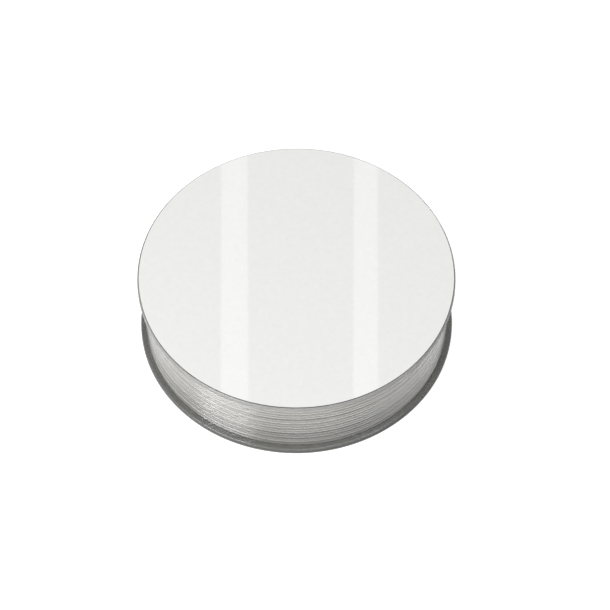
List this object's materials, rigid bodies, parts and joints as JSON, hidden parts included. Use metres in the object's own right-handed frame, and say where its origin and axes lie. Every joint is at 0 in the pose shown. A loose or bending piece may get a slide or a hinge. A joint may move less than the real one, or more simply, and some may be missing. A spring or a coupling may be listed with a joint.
{
  "type": "fishing line spool",
  "caption": "Flat round spool of clear nylon fishing line, with a full label on top, a grey see-through plastic body in two press-fit halves and a blind spindle bore below.",
  "frame": {"origin": "on the spool's axis, in the plane that the lower flange rests on", "axes": "+Z along the spool's axis from the rest plane up to the label, and +Y towards the tape tab at the back"},
  "size_m": [0.07, 0.07, 0.0182],
  "materials": {
    "smoke_plastic": "clear polystyrene with a light smoke tint, as moulded",
    "nylon_line": "clear nylon line, silvery where it is wound",
    "label_laminate": "white paper under a gloss film",
    "clear_tape": "clear adhesive tape"
  },
  "bodies": {
    "lower_spool": {"lower_half": "smoke_plastic", "line_winding": "nylon_line", "line_start_knot": "nylon_line", "end_tape": "clear_tape", "bottom_label": "label_laminate"},
    "upper_spool": {"upper_half": "smoke_plastic", "top_label": "label_laminate"}
  },
  "joints": [
    {"name": "upper_half_pull_off", "type": "slide", "parent": "lower_spool", "child": "upper_spool", "axis": [0, 0, 1], "range_m": [0, 0.012]}
  ]
}
